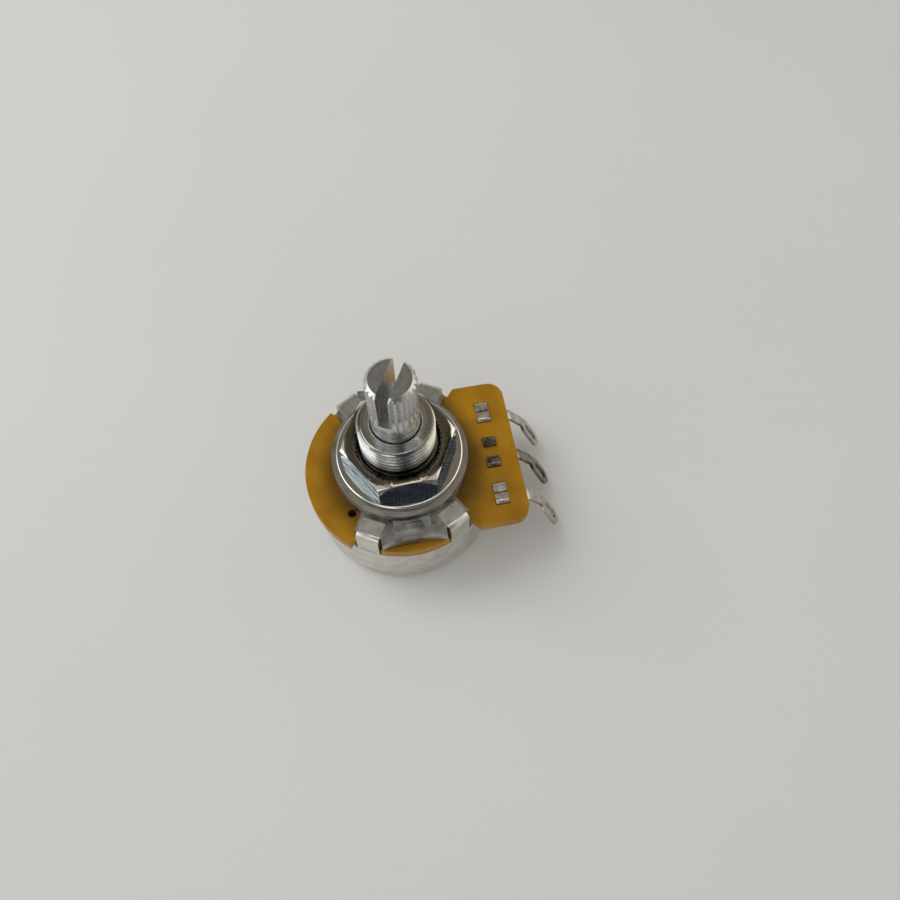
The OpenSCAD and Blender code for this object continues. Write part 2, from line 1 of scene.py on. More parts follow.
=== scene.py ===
# %% [markdown]
# # A rotary potentiometer, dressed for its photograph
#
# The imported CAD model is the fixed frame. This script gives every visible piece its finish:
# softened edges, a cut screw thread, and a procedural material for each metal, the board and the
# moulded plastic.
#
# The order of the lesson: frame, camera, light, shared shader effects, materials, finished pieces,
# floor.

import json
import math

import bmesh
import bpy
from mathutils import Matrix, Vector


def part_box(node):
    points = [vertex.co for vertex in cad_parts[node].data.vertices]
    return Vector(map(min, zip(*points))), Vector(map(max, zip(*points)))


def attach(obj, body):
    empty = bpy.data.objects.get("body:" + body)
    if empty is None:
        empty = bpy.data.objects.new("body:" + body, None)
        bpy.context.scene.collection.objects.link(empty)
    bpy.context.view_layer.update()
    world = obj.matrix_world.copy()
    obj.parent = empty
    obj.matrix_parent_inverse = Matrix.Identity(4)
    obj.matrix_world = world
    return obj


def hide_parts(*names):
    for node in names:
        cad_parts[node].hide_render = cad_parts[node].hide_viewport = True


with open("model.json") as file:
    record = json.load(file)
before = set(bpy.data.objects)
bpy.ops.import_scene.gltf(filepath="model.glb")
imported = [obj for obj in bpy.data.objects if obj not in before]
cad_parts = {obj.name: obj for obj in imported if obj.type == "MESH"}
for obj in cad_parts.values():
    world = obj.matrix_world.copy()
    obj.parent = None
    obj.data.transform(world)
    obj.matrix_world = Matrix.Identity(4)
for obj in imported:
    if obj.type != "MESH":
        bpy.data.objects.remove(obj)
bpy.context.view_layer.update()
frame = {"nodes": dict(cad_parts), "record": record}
MM = 0.001
print("CAD nodes:", len(frame["nodes"]))

# %% [markdown]
# ## Camera
#
# A camera can be placed by eye, or solved from points of known size. Here it was solved: circles
# and the nut's corners gave its place, direction, roll and focal length, so the render can be laid
# over the photo.

# %% Camera
PLACE = Vector((-2.164, -51.645, 116.860)) * MM
RIGHT = Vector((0.98303, -0.18321, -0.00890))
UP = Vector((0.16787, 0.87906, 0.44617))
AHEAD = Vector((0.07392, 0.44010, -0.89490))

cam_data = bpy.data.cameras.new("camera")
cam_data.sensor_width = 36
cam_data.lens = 36.2324
cam_data.clip_start = 0.002
cam = bpy.data.objects.new("camera", cam_data)
bpy.context.collection.objects.link(cam)
turn = Matrix((RIGHT, UP, -AHEAD)).transposed().to_4x4()
cam.matrix_world = Matrix.Translation(PLACE) @ turn
bpy.context.scene.camera = cam
bpy.context.scene.view_settings.view_transform = "Standard"
print("camera to the part's foot, mm:", round(PLACE.length / MM, 1))

# %% [markdown]
# ## Helpers for shader nodes
#
# Writing each node and link by hand hides the idea of a material. So one helper adds a node and
# fills its inputs: a plain value is set, and another node's socket is linked.

# %% One node in one line
def fill(tree, node, inputs):
    for key, value in (inputs or {}).items():
        if isinstance(value, bpy.types.NodeSocket):
            tree.links.new(value, node.inputs[key])
        else:
            node.inputs[key].default_value = value
    return node


def add(tree, kind, inputs=None, **settings):
    node = tree.nodes.new(kind)
    for key, value in settings.items():
        setattr(node, key, value)
    return fill(tree, node, inputs)


# %% [markdown]
# Three things come back in nearly every tree: a blend of two colours by a mask, a ramp that turns
# one range of numbers into another, and arithmetic. The Mix node keeps its colours in sockets 6 and
# 7 and gives them out at 2, which is worth writing once only.

# %% Blend, ramp and arithmetic
COLOUR_A, COLOUR_B, COLOUR_OUT = 6, 7, 2
FLOAT_A, FLOAT_B, FLOAT_OUT = 2, 3, 0


def blend(tree, mask, below, above):
    node = add(tree, "ShaderNodeMix", {"Factor": mask, COLOUR_A: below, COLOUR_B: above},
               data_type="RGBA")
    return node.outputs[COLOUR_OUT]


def blend_value(tree, mask, below, above):
    node = add(tree, "ShaderNodeMix", {"Factor": mask, FLOAT_A: below, FLOAT_B: above},
               data_type="FLOAT")
    return node.outputs[FLOAT_OUT]


def ramp(tree, value, start, end, low=0.0, high=1.0, curve="LINEAR"):
    node = add(tree, "ShaderNodeMapRange",
               {"Value": value, "From Min": start, "From Max": end, "To Min": low, "To Max": high},
               interpolation_type=curve)
    return node.outputs["Result"]


def math_node(tree, kind, a, b):
    return add(tree, "ShaderNodeMath", {0: a, 1: b}, operation=kind).outputs["Value"]


def scaled(tree, colour, factor):
    node = add(tree, "ShaderNodeVectorMath", {0: colour, "Scale": factor}, operation="SCALE")
    return node.outputs["Vector"]


# %% [markdown]
# A finish depends on where a point lies: its height above the desk and its distance from the
# shaft's axis. Both are read from object coordinates, so a pattern stays on its piece when the
# piece moves.

# %% Height and distance from the axis
def object_place(tree):
    return add(tree, "ShaderNodeTexCoord").outputs["Object"]


def height_and_radius(tree):
    parts = add(tree, "ShaderNodeSeparateXYZ", {"Vector": object_place(tree)})
    flat = add(tree, "ShaderNodeCombineXYZ", {"X": parts.outputs["X"], "Y": parts.outputs["Y"]})
    radius = add(tree, "ShaderNodeVectorMath", {0: flat.outputs["Vector"]}, operation="LENGTH")
    return parts.outputs["Z"], radius.outputs["Value"]


# %% [markdown]
# ## Groups
#
# A group is a node made of nodes. Its inputs and outputs get names, and each use gets its own
# values.

# %% Making and using a group
def new_group(name, inputs, outputs):
    group = bpy.data.node_groups.new(name, "ShaderNodeTree")
    for label, kind, value in inputs:
        socket = group.interface.new_socket(label, in_out="INPUT", socket_type=kind)
        socket.default_value = value
    for label, kind in outputs:
        group.interface.new_socket(label, in_out="OUTPUT", socket_type=kind)
    start = group.nodes.new("NodeGroupInput")
    end = group.nodes.new("NodeGroupOutput")
    print("group", name, "with inputs", ", ".join(row[0] for row in inputs))
    return group, start.outputs, end.inputs


def use(tree, group, output, **inputs):
    node = tree.nodes.new("ShaderNodeGroup")
    node.node_tree = group
    return fill(tree, node, inputs).outputs[output]


# %% [markdown]
# ## Light
#
# The photo has a pale desk, soft light from everywhere, and one window at the upper left. Polished
# metal shows what stands around it, so its room matters more than its colour. A photograph of a
# room would do, but a room made of soft cards can be named and moved card by card. A card is round:
# it is full where the ray is within its inner limit (the cosine of an angle) and fades to nothing
# at the outer one.

# %% A soft card
card, card_in, card_out = new_group(
    "soft_card",
    [("Below", "NodeSocketColor", (1, 1, 1, 1)),
     ("Direction", "NodeSocketVector", (0, 0, 1)),
     ("Colour", "NodeSocketColor", (1, 1, 1, 1)),
     ("Outer", "NodeSocketFloat", 0.8),
     ("Inner", "NodeSocketFloat", 0.9)],
    [("Colour", "NodeSocketColor")])
ray = add(card, "ShaderNodeTexCoord").outputs["Generated"]
unit = add(card, "ShaderNodeVectorMath", {0: card_in["Direction"]}, operation="NORMALIZE")
near = add(card, "ShaderNodeVectorMath", {0: ray, 1: unit.outputs["Vector"]},
           operation="DOT_PRODUCT")
edge = ramp(card, near.outputs["Value"], card_in["Outer"], card_in["Inner"], curve="SMOOTHSTEP")
card.links.new(blend(card, edge, card_in["Below"], card_in["Colour"]), card_out["Colour"])

# %% [markdown]
# The cards are laid one over another. Each was placed by asking which way a face of the object
# throws the camera's ray, and what the photo shows there. The nut's flats stand upright, so their
# ray goes down first, and the bright washer under them throws it up into the room.

# %% The cards of the room
CARDS = [
    # direction, colour, outer and inner limit, and what shows it
    ((0.12, 0.47, 0.88), (0.17, 0.165, 0.14), 0.80, 0.92),  # dim ceiling: level faces
    ((0.10, -0.85, 0.40), (0.07, 0.075, 0.09), 0.85, 0.95),  # dark front: the thread's middle
    ((-1.0, 0.05, 0.45), (1.9, 1.95, 2.0), 0.84, 0.94),  # window: all that slopes to the left
    ((-0.43, 0.13, 0.895), (0.09, 0.12, 0.16), 0.955, 0.978),  # dark: the nut's left front flat
    ((-0.47, 0.14, 0.87), (1.15, 1.35, 1.5), 0.990, 0.996),  # light blue streaks on that flat
    ((1.0, 0.15, 0.55), (1.3, 1.22, 1.02), 0.80, 0.92),  # cream: all that slopes to the right
    ((0.02, 0.40, 0.91), (0.17, 0.15, 0.12), 0.980, 0.996),  # brown: the nut's top
    ((0.00, -0.44, 0.895), (0.014, 0.020, 0.036), 0.955, 0.981),  # navy: the nut's front flat
    ((-0.42, -0.74, 0.48), (1.8, 1.8, 1.75), 0.955, 0.985),  # white: the tabs' bends
    ((0.04, 0.02, 1.00), (2.4, 2.3, 2.1), 0.980, 0.993),  # overhead: bright lines on bevels
    ((0.34, 0.31, 0.89), (0.035, 0.045, 0.055), 0.978, 0.992),  # dark: the nut's right front flat
]
print("cards in the room:", len(CARDS))

# %% [markdown]
# The world has two faces. Reflections see the cards, and everything else gets one even light, so
# the cards can be as bright or dark as a mirror image asks without changing the board's colour. The
# world is found by bounced rays alone: sampled as a lamp, it would show rough metal its even face.

# %% The world
ROOM_WALL = (0.52, 0.52, 0.50, 1)
EVEN_LIGHT = (0.50, 0.495, 0.485, 1)

world = bpy.data.worlds.new("world")
bpy.context.scene.world = world
world.use_nodes = True
sky = world.node_tree
sky.nodes.clear()
colour = ROOM_WALL
for direction, card_colour, outer, inner in CARDS:
    colour = use(sky, card, "Colour", Below=colour, Direction=direction, Colour=(*card_colour, 1),
                 Outer=outer, Inner=inner)
mirror = add(sky, "ShaderNodeLightPath").outputs["Is Glossy Ray"]
seen = blend(sky, mirror, EVEN_LIGHT, colour)
back = add(sky, "ShaderNodeBackground", {"Color": seen, "Strength": 1.0})
add(sky, "ShaderNodeOutputWorld", {"Surface": back.outputs["Background"]})
world.cycles.sampling_method = "NONE"
print("world:", len(sky.nodes), "nodes")

# %% [markdown]
# The window is a disc lamp at the upper left. It makes the soft shadow, and mirrors don't see it,
# because the cards already show a window there.

# %% The window
lamp_data = bpy.data.lights.new("window", "AREA")
lamp_data.shape = "DISK"
lamp_data.size = 0.26  # metres
lamp_data.energy = 0.62  # watts
lamp_data.color = (1.0, 0.985, 0.96)
lamp = bpy.data.objects.new("window", lamp_data)
bpy.context.collection.objects.link(lamp)
lamp.visible_glossy = False
lamp.location = (-0.24, 0.16, 0.36)
lamp.rotation_euler = (Vector((0, 0, 0)) - lamp.location).to_track_quat("-Z", "Y").to_euler()
print("lamp to the part, m:", round(lamp.location.length, 3))

# %% [markdown]
# ## Shared effects
#
# Two effects come back in most finishes: grain and lathe lines. *Grain* is even noise in object
# space. Noise stays near its middle, so what lies between 0.3 and 0.7 is stretched to the values
# asked for.

# %% Grain
NOISE_LOW, NOISE_HIGH = 0.3, 0.7

grain, grain_in, grain_out = new_group(
    "grain",
    [("Scale", "NodeSocketFloat", 1000.0), ("Detail", "NodeSocketFloat", 3.0),
     ("Low", "NodeSocketFloat", 0.0), ("High", "NodeSocketFloat", 1.0)],
    [("Value", "NodeSocketFloat")])
noise = add(grain, "ShaderNodeTexNoise",
            {"Vector": object_place(grain), "Scale": grain_in["Scale"],
             "Detail": grain_in["Detail"]})
spread = ramp(grain, noise.outputs["Fac"], NOISE_LOW, NOISE_HIGH, grain_in["Low"], grain_in["High"])
grain.links.new(spread, grain_out["Value"])

# %% [markdown]
# *Lathe lines* are noise looked up by radius and height only, so it runs in rings round the
# shaft's axis, as a tool leaves it. A wave texture would be too even: a worn tool never is.

# %% Lathe lines
lathe, lathe_in, lathe_out = new_group(
    "lathe_lines",
    [("Across", "NodeSocketFloat", 4000.0), ("Low", "NodeSocketFloat", 0.0),
     ("High", "NodeSocketFloat", 1.0)],
    [("Value", "NodeSocketFloat")])
height, radius = height_and_radius(lathe)
ring = add(lathe, "ShaderNodeCombineXYZ", {"X": radius, "Y": height}).outputs["Vector"]
noise = add(lathe, "ShaderNodeTexNoise",
            {"Vector": ring, "Scale": lathe_in["Across"], "Detail": 2.0})
spread = ramp(lathe, noise.outputs["Fac"], NOISE_LOW, NOISE_HIGH, lathe_in["Low"], lathe_in["High"])
lathe.links.new(spread, lathe_out["Value"])

# %% [markdown]
# A material starts with its shader. Colour comes from two tones and a value between them, and
# relief from bumps of a real depth in metres, which can be stacked.

# %% Material, tint and bump
def new_material(name):
    mat = bpy.data.materials.new(name)
    mat.use_nodes = True
    tree = mat.node_tree
    tree.nodes.clear()
    out = add(tree, "ShaderNodeOutputMaterial")
    shader = add(tree, "ShaderNodeBsdfPrincipled")
    tree.links.new(shader.outputs["BSDF"], out.inputs["Surface"])
    return mat, tree, shader


def tint(tree, value, dark, light):
    return blend(tree, value, (*dark, 1), (*light, 1))


def bump(tree, height, depth, **more):
    node = add(tree, "ShaderNodeBump", {"Height": height, "Distance": depth, **more})
    return node.outputs["Normal"]


# %% [markdown]
# ## Metals
#
# All the metals share one recipe: metallic, a colour that wanders a little, a roughness that
# wanders more, and a shallow bump. What tells them apart is how the surface was made: drawn sheet,
# bright plate, or a lathe's rings. The recipe is a function, so each finish is a few numbers.

# %% The recipe for a metal
HAZE_FINER = 2.3  # how much finer the haze is than the blotches of colour


def metal(name, dark, light, rough, fine, depth, blotch=260.0, lines=0.0, across=5000.0):
    """rough: its least and most. fine, blotch, across: noise scales. depth, lines: bumps in m."""
    mat, tree, shader = new_material(name)
    shader.inputs["Metallic"].default_value = 1.0
    patch = use(tree, grain, "Value", Scale=blotch, Detail=4.0)
    haze = use(tree, grain, "Value", Scale=blotch * HAZE_FINER, Detail=5.0,
               Low=rough[0], High=rough[1])
    normal = bump(tree, use(tree, grain, "Value", Scale=fine, Detail=4.0), depth)
    if lines:
        normal = bump(tree, use(tree, lathe, "Value", Across=across), lines, Normal=normal)
    fill(tree, shader, {"Base Color": tint(tree, patch, dark, light), "Roughness": haze,
                        "Normal": normal})
    return mat


# %% [markdown]
# The can is tin plate on steel. The outer lugs are tinned brass, and the middle one has tarnished.
# The nut and the flat washer are bright nickel with a lathe's rings, and the toothed washer under
# them is duller. The last three sit inside the can.

# %% The metals
MATERIALS = {
    "can_steel": metal(
        "tin_plate", (0.60, 0.59, 0.55), (0.78, 0.765, 0.72), (0.27, 0.37), 420, 5e-6, 620),
    "tinned_brass": metal(
        "tinned_brass", (0.50, 0.48, 0.44), (0.84, 0.82, 0.78), (0.22, 0.42), 900, 1.2e-5, 800),
    "tarnished_brass": metal(
        "tarnished_brass", (0.09, 0.066, 0.052), (0.36, 0.30, 0.25), (0.20, 0.42), 900, 1e-5, 900),
    "lock_washer_steel": metal(
        "lock_washer_steel", (0.42, 0.40, 0.36), (0.58, 0.56, 0.50), (0.25, 0.42), 1800, 4e-6),
    "bright_nickel": metal(
        "bright_nickel", (0.70, 0.69, 0.65), (0.82, 0.81, 0.77), (0.07, 0.15), 500, 8e-7, 300,
        lines=1.0e-5, across=800),
    "nut_nickel": metal(
        "nut_nickel", (0.66, 0.64, 0.59), (0.80, 0.78, 0.73), (0.07, 0.16), 1200, 3e-7, 300,
        lines=1.4e-5, across=700),
    "spring_steel": metal(
        "spring_steel", (0.15, 0.15, 0.16), (0.28, 0.28, 0.30), (0.30, 0.45), 2000, 3e-6),
    "plain_steel": metal(
        "plain_steel", (0.42, 0.42, 0.41), (0.58, 0.58, 0.56), (0.28, 0.42), 2000, 3e-6),
    "spring_brass": metal(
        "spring_brass", (0.60, 0.44, 0.18), (0.78, 0.62, 0.30), (0.18, 0.32), 2200, 2e-6),
}
print("metals:", ", ".join(MATERIALS))

# %% [markdown]
# ## The die casting
#
# One zinc casting has two surfaces: grey, slightly pitted skin on the plate, and bright cut metal
# where the thread was machined. A second object could carry the bright part, but the real one is
# one piece, so one material changes with the height above the boss.

# %% Casting: skin and cut metal
BOSS_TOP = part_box("lock_washer")[0][2]
NUT_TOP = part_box("hex_nut")[1][2]
BUSHING_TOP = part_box("bushing_plate")[1][2]

mat, tree, shader = new_material("zinc_casting")
shader.inputs["Metallic"].default_value = 1.0
height, radius = height_and_radius(tree)
cut = ramp(tree, height, BOSS_TOP + 0.2 * MM, BOSS_TOP + 0.4 * MM)
patch = use(tree, grain, "Value", Scale=650.0, Detail=5.0)
skin = tint(tree, patch, (0.20, 0.20, 0.20), (0.54, 0.53, 0.51))
rings = use(tree, lathe, "Value", Across=1900.0)
turned = tint(tree, rings, (0.50, 0.49, 0.465), (0.80, 0.79, 0.755))
tops = [round(z / MM, 2) for z in (BOSS_TOP, NUT_TOP, BUSHING_TOP)]
print("boss, nut and bushing tops, mm:", tops)

# %% [markdown]
# Painted shade in the thread: its grooves are painted nearly black and its crests stay bright, and
# close to the nut, in its shade, all of it is painted darker. The mask reads a groove's depth from
# the distance to the axis. The bore and the bushing's end face are left undarkened.

# %% Casting: painted shade in the thread
GROOVE, CREST_EDGE = 4.38 * MM, 4.755 * MM
BORE, BORE_EDGE = 4.0 * MM, 4.2 * MM
# how far above the nut the painted shade reaches
SHADE_REACH = 2.6 * MM

# painted shade: the grooves darkened by their depth, and all the thread darkened close under the
# nut
groove = ramp(tree, radius, GROOVE, CREST_EDGE, 0.05, 1.0)
bore = ramp(tree, radius, BORE, BORE_EDGE, 1.0, 0.0)
nut_shade = ramp(tree, height, NUT_TOP, NUT_TOP + SHADE_REACH, 0.25, 1.0, "SMOOTHSTEP")
thread_shade = math_node(tree, "MULTIPLY", math_node(tree, "MAXIMUM", groove, bore), nut_shade)
end_face = ramp(tree, height, BUSHING_TOP - 0.05 * MM, BUSHING_TOP - 0.02 * MM)
screw = blend(tree, end_face, scaled(tree, turned, thread_shade), turned)
tree.links.new(blend(tree, cut, skin, screw), shader.inputs["Base Color"])
print("painted_shade reaches up to, mm:", round((NUT_TOP + SHADE_REACH) / MM, 2))

# %% [markdown]
# The same height decides the gloss: cast skin is dull and pitted, and the cut metal is smooth with
# rings.

# %% Casting: gloss and relief
haze = use(tree, grain, "Value", Scale=900.0, Detail=4.0, Low=0.28, High=0.44)
smooth = use(tree, grain, "Value", Scale=900.0, Detail=4.0, Low=0.10, High=0.20)
tree.links.new(blend_value(tree, cut, haze, smooth), shader.inputs["Roughness"])
pits = bump(tree, use(tree, grain, "Value", Scale=1500.0, Detail=5.0), 1.1e-5)
tree.links.new(bump(tree, rings, 1.0e-5, Strength=cut, Normal=pits), shader.inputs["Normal"])
MATERIALS["zinc_casting"] = mat
print("zinc_casting:", len(tree.nodes), "nodes")

# %% [markdown]
# ## Painted shade that follows the height
#
# The nut's top is painted brown, a painted reflection of the dim room it faces; the lugs under the
# board are painted darker, as painted shade from the board; and the washer's wall below its top
# edge is painted darker, partly as painted shade and partly as the duller punched edge. Each could
# be a thin shell of its own, but painted shade has no thickness to see, so the metal's colour is
# multiplied down beyond a height.

# %% Painted shade by height
def paint_darkening_by_height(name, start, end, colour):
    """Multiplies a painted shade colour in: none at the height start, all of it from end on."""
    tree = MATERIALS[name].node_tree
    shader = next(node for node in tree.nodes if node.type == "BSDF_PRINCIPLED")
    unshaded_colour = shader.inputs["Base Color"].links[0].from_socket
    height = add(tree, "ShaderNodeSeparateXYZ", {"Vector": object_place(tree)}).outputs["Z"]
    mask = ramp(tree, height, start, end)
    shaded_colour = add(tree, "ShaderNodeVectorMath", {0: unshaded_colour, 1: colour}, operation="MULTIPLY")
    both = blend(tree, mask, unshaded_colour, shaded_colour.outputs["Vector"])
    tree.links.new(both, shader.inputs["Base Color"])
    print("stain on", name, "from", round(start / MM, 3), "to", round(end / MM, 3), "mm")


WASHER_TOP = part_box("flat_washer")[1][2]
IN_THE_BOARD, BELOW_IT = 8.6 * MM, 7.6 * MM
PAINTED_REFLECTION_BROWN, PAINTED_SHADE_UNDER_BOARD, RIM_SHADE_AND_DULLING = (0.40, 0.355, 0.31), (0.68, 0.66, 0.62), (0.42, 0.40, 0.35)

# painted reflection: the nut's top face is darkened brown, as it mirrors the dim room above it
paint_darkening_by_height("nut_nickel", NUT_TOP - 0.004 * MM, NUT_TOP - 0.001 * MM, PAINTED_REFLECTION_BROWN)
# painted shade: the lugs are darkened below the board, where it shades them
paint_darkening_by_height("tinned_brass", IN_THE_BOARD, BELOW_IT, PAINTED_SHADE_UNDER_BOARD)
# the washer's wall below its top edge: partly painted shade, partly the duller punched edge
paint_darkening_by_height("bright_nickel", WASHER_TOP - 0.10 * MM, WASHER_TOP - 0.16 * MM, RIM_SHADE_AND_DULLING)

# %% [markdown]
# ## The aluminium shaft
#
# Bar stock is turned, the splines are rolled and the slot is sawn. The rings come from the lathe
# group, and the roughness is nearly even, because plain aluminium has no plate to wear.

# %% Shaft aluminium
mat, tree, shader = new_material("shaft_aluminium")
shader.inputs["Metallic"].default_value = 1.0
rings = use(tree, lathe, "Value", Across=3000.0)
haze = use(tree, grain, "Value", Scale=1400.0, Detail=5.0, Low=0.25, High=0.31)
fine = bump(tree, use(tree, grain, "Value", Scale=2400.0, Detail=2.0), 6e-7)
fill(tree, shader, {"Base Color": tint(tree, rings, (0.50, 0.505, 0.51), (0.66, 0.66, 0.66)),
                    "Roughness": haze, "Normal": bump(tree, rings, 1.2e-6, Normal=fine)})
MATERIALS["shaft_aluminium"] = mat
print("shaft_aluminium:", len(tree.nodes), "nodes")

# %% [markdown]
# ## The phenolic board
#
# Paper laminate in amber resin: a warm colour with soft clouds, and a satin skin that reflects a
# little. In the photo it turns brown close to the washers, where their shade falls, so its colour
# is darkened towards the middle: that darkening is painted shade. It is not metal, so the gloss
# comes from the shader's own specular and coat.

# %% Phenolic
# painted shade round the washers: full within the first radius, gone from the second
SHADE_FULL_WITHIN, SHADE_GONE_FROM = 8.4 * MM, 12.4 * MM

mat, tree, shader = new_material("phenolic")
clouds = use(tree, grain, "Value", Scale=330.0, Detail=6.0)
amber = tint(tree, clouds, (0.36, 0.160, 0.001), (0.50, 0.245, 0.002))
# painted shade: the amber is multiplied down to about a third near the washers
inner = ramp(tree, height_and_radius(tree)[1], SHADE_FULL_WITHIN, SHADE_GONE_FROM, 0.34, 1.0, "SMOOTHSTEP")
haze = use(tree, grain, "Value", Scale=1100.0, Detail=4.0, Low=0.30, High=0.48)
fibre = bump(tree, use(tree, grain, "Value", Scale=4200.0, Detail=3.0), 5e-6)
fill(tree, shader, {"Base Color": scaled(tree, amber, inner), "Roughness": haze, "Normal": fibre,
                    "Specular IOR Level": 0.32, "Coat Weight": 0.05, "Coat Roughness": 0.18})
MATERIALS["phenolic"] = mat
print("phenolic:", len(tree.nodes), "nodes")

# %% [markdown]
# ## Ink and plastic inside the can
#
# Nobody sees these with the can closed, but a reader who opens the model does. Printed ink is matt
# with fine grain, and moulded plastic is smoother with a faint orange peel.

# %% Ink and plastic
FAINT = 4e-6  # metres of relief


def matt(name, dark, light, rough, scale, metallic=0.0):
    mat, tree, shader = new_material(name)
    value = use(tree, grain, "Value", Scale=scale, Detail=5.0)
    haze = use(tree, grain, "Value", Scale=scale * 2, Low=rough[0], High=rough[1])
    fill(tree, shader, {"Base Color": tint(tree, value, dark, light), "Roughness": haze,
                        "Normal": bump(tree, value, FAINT), "Metallic": metallic})
    MATERIALS[name] = mat


matt("carbon_ink", (0.012, 0.012, 0.013), (0.04, 0.04, 0.042), (0.55, 0.75), 3000)
matt("silver_ink", (0.50, 0.50, 0.48), (0.68, 0.68, 0.66), (0.38, 0.55), 3000, 0.9)
matt("thrust_plastic", (0.40, 0.27, 0.13), (0.55, 0.40, 0.22), (0.40, 0.55), 1500)
matt("carrier_plastic", (0.10, 0.04, 0.018), (0.20, 0.09, 0.04), (0.38, 0.52), 1500)
print("materials in all:", len(MATERIALS))

# %% [markdown]
# The CAD record names a material slot for each node, so the nodes are dressed from it.

# %% A material for every CAD node
SLOTS = {row["node"]: row["material_slot"] for row in frame["record"]["subparts"]}
for name, node in frame["nodes"].items():
    node.data.materials.clear()
    node.data.materials.append(MATERIALS[SLOTS[name]])
print("slots in use:", len(set(SLOTS.values())))

# %% [markdown]
# ## Finished pieces
#
# CAD edges are perfectly sharp, and a sharp edge never catches light. Each visible piece becomes a
# finished copy: loose triangles are merged, flat facets dissolved, and every real edge gets a small
# bevel. A bevel in the shader would cost less, but it doesn't change the outline or reach an
# exported model.

# %% A merged copy of a CAD node
def link_new(name, mesh):
    obj = bpy.data.objects.new(name, mesh)
    bpy.context.collection.objects.link(obj)
    return obj


def merged(node, name):
    mesh = frame["nodes"][node].data.copy()
    mesh.name = name
    bm = bmesh.new()
    bm.from_mesh(mesh)
    bmesh.ops.remove_doubles(bm, verts=bm.verts, dist=2e-7)
    bmesh.ops.dissolve_limit(bm, angle_limit=math.radians(0.6), verts=bm.verts, edges=bm.edges)
    bm.to_mesh(mesh)
    bm.free()
    return link_new(name, mesh)


# %% [markdown]
# Modifiers do the work, and their result is then kept as a plain mesh, which is what the export
# reads.

# %% Apply modifiers, and bevel
EDGE_ANGLE = 32.0  # degrees: a fold sharper than this is an edge


def apply_modifiers(obj):
    graph = bpy.context.evaluated_depsgraph_get()
    mesh = bpy.data.meshes.new_from_object(
        obj.evaluated_get(graph), preserve_all_data_layers=True, depsgraph=graph)
    obj.modifiers.clear()
    old = obj.data
    obj.data = mesh
    bpy.data.meshes.remove(old)


def soften(obj, width):
    mod = obj.modifiers.new("edges", "BEVEL")
    mod.width = width
    mod.segments = 2
    mod.limit_method = "ANGLE"
    mod.angle_limit = math.radians(EDGE_ANGLE)
    mod.use_clamp_overlap = True
    mod.miter_outer = "MITER_ARC"
    apply_modifiers(obj)


# %% [markdown]
# Smooth shading is right within a curved face and wrong across an edge. Edges above an angle are
# marked sharp on a new mesh, free of the normals that a boolean leaves behind. Large faces then
# lead the normals beside them, so a flat looks flat up to its bevel.

# %% Shading
def shade(obj, angle=EDGE_ANGLE):
    bm = bmesh.new()
    bm.from_mesh(obj.data)
    bm.normal_update()
    for face in bm.faces:
        face.smooth = True
    for edge in bm.edges:
        edge.smooth = edge.calc_face_angle(0.0) < math.radians(angle)
    old = obj.data
    obj.data = bpy.data.meshes.new(obj.name)
    bm.to_mesh(obj.data)
    bm.free()
    bpy.data.meshes.remove(old)
    mod = obj.modifiers.new("weight", "WEIGHTED_NORMAL")
    mod.keep_sharp = True
    mod.weight = 100
    apply_modifiers(obj)


# %% [markdown]
# A finished piece takes its node's material and place: it rides the node's body and is shown in its
# stead.

# %% Handing a piece over
def finish_piece(obj, node, body="housing"):
    obj.data.materials.clear()
    obj.data.materials.append(MATERIALS[SLOTS[node]])
    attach(obj, body)
    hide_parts(node)
    print(obj.name, "on", body, "faces", len(obj.data.polygons))


# %% [markdown]
# Stamped and drawn sheet has rounded edges by nature. The widths differ: the flat washer's edge is
# the roundest, and the shaft's splines are so fine that theirs get only a hair's breadth.

# %% Sheet metal, board and shaft
EDGES_MM = {
    "can": ("can_finished", 0.07),
    "terminal_board": ("board_finished", 0.05),
    "start_terminal": ("start_terminal_finished", 0.05),
    "wiper_terminal": ("wiper_terminal_finished", 0.05),
    "end_terminal": ("end_terminal_finished", 0.05),
    "lock_washer": ("lock_washer_finished", 0.04),
    "flat_washer": ("flat_washer_finished", 0.10),
}
for node, (name, width) in EDGES_MM.items():
    piece = merged(node, name)
    soften(piece, width * MM)
    shade(piece)
    finish_piece(piece, node)

shaft = merged("shaft", "shaft_finished")
soften(shaft, width=0.03 * MM)
shade(shaft, 25.0)
finish_piece(shaft, "shaft", "rotor")

# %% [markdown]
# ## The nut
#
# This nut is chamfered on one side only: its lower face is flat and meets the washer at full width.
# It is made as the machine makes it: hexagon bar, a cone that turns the corners off the top, and a
# bored hole with a countersink. Moving single vertices of the CAD nut would also do, but then the
# curves on the flats, where cone and hexagon meet, would have to be found by hand. So the first
# helper turns a profile round the axis.

# %% A turned solid
def lathe_solid(name, profile, steps=128):
    count = len(profile)
    turns = [2 * math.pi * i / steps for i in range(steps)]
    verts = [(r * math.cos(turn), r * math.sin(turn), z) for turn in turns for r, z in profile]
    faces = []
    for i in range(steps):
        j = (i + 1) % steps
        for k in range(count):
            m = (k + 1) % count
            faces.append((i * count + k, j * count + k, j * count + m, i * count + m))
    mesh = bpy.data.meshes.new(name)
    mesh.from_pydata(verts, [], faces)
    bm = bmesh.new()
    bm.from_mesh(mesh)
    bmesh.ops.remove_doubles(bm, verts=bm.verts, dist=1e-7)
    bmesh.ops.dissolve_degenerate(bm, edges=bm.edges, dist=1e-7)
    bmesh.ops.recalc_face_normals(bm, faces=bm.faces)
    bm.to_mesh(mesh)
    bm.free()
    return link_new(name, mesh)


# %% [markdown]
# A boolean cuts one solid with another, or keeps what they share. The exact solver copes with faces
# that touch. The tool is thrown away afterwards, so that nothing of it is rendered or exported.

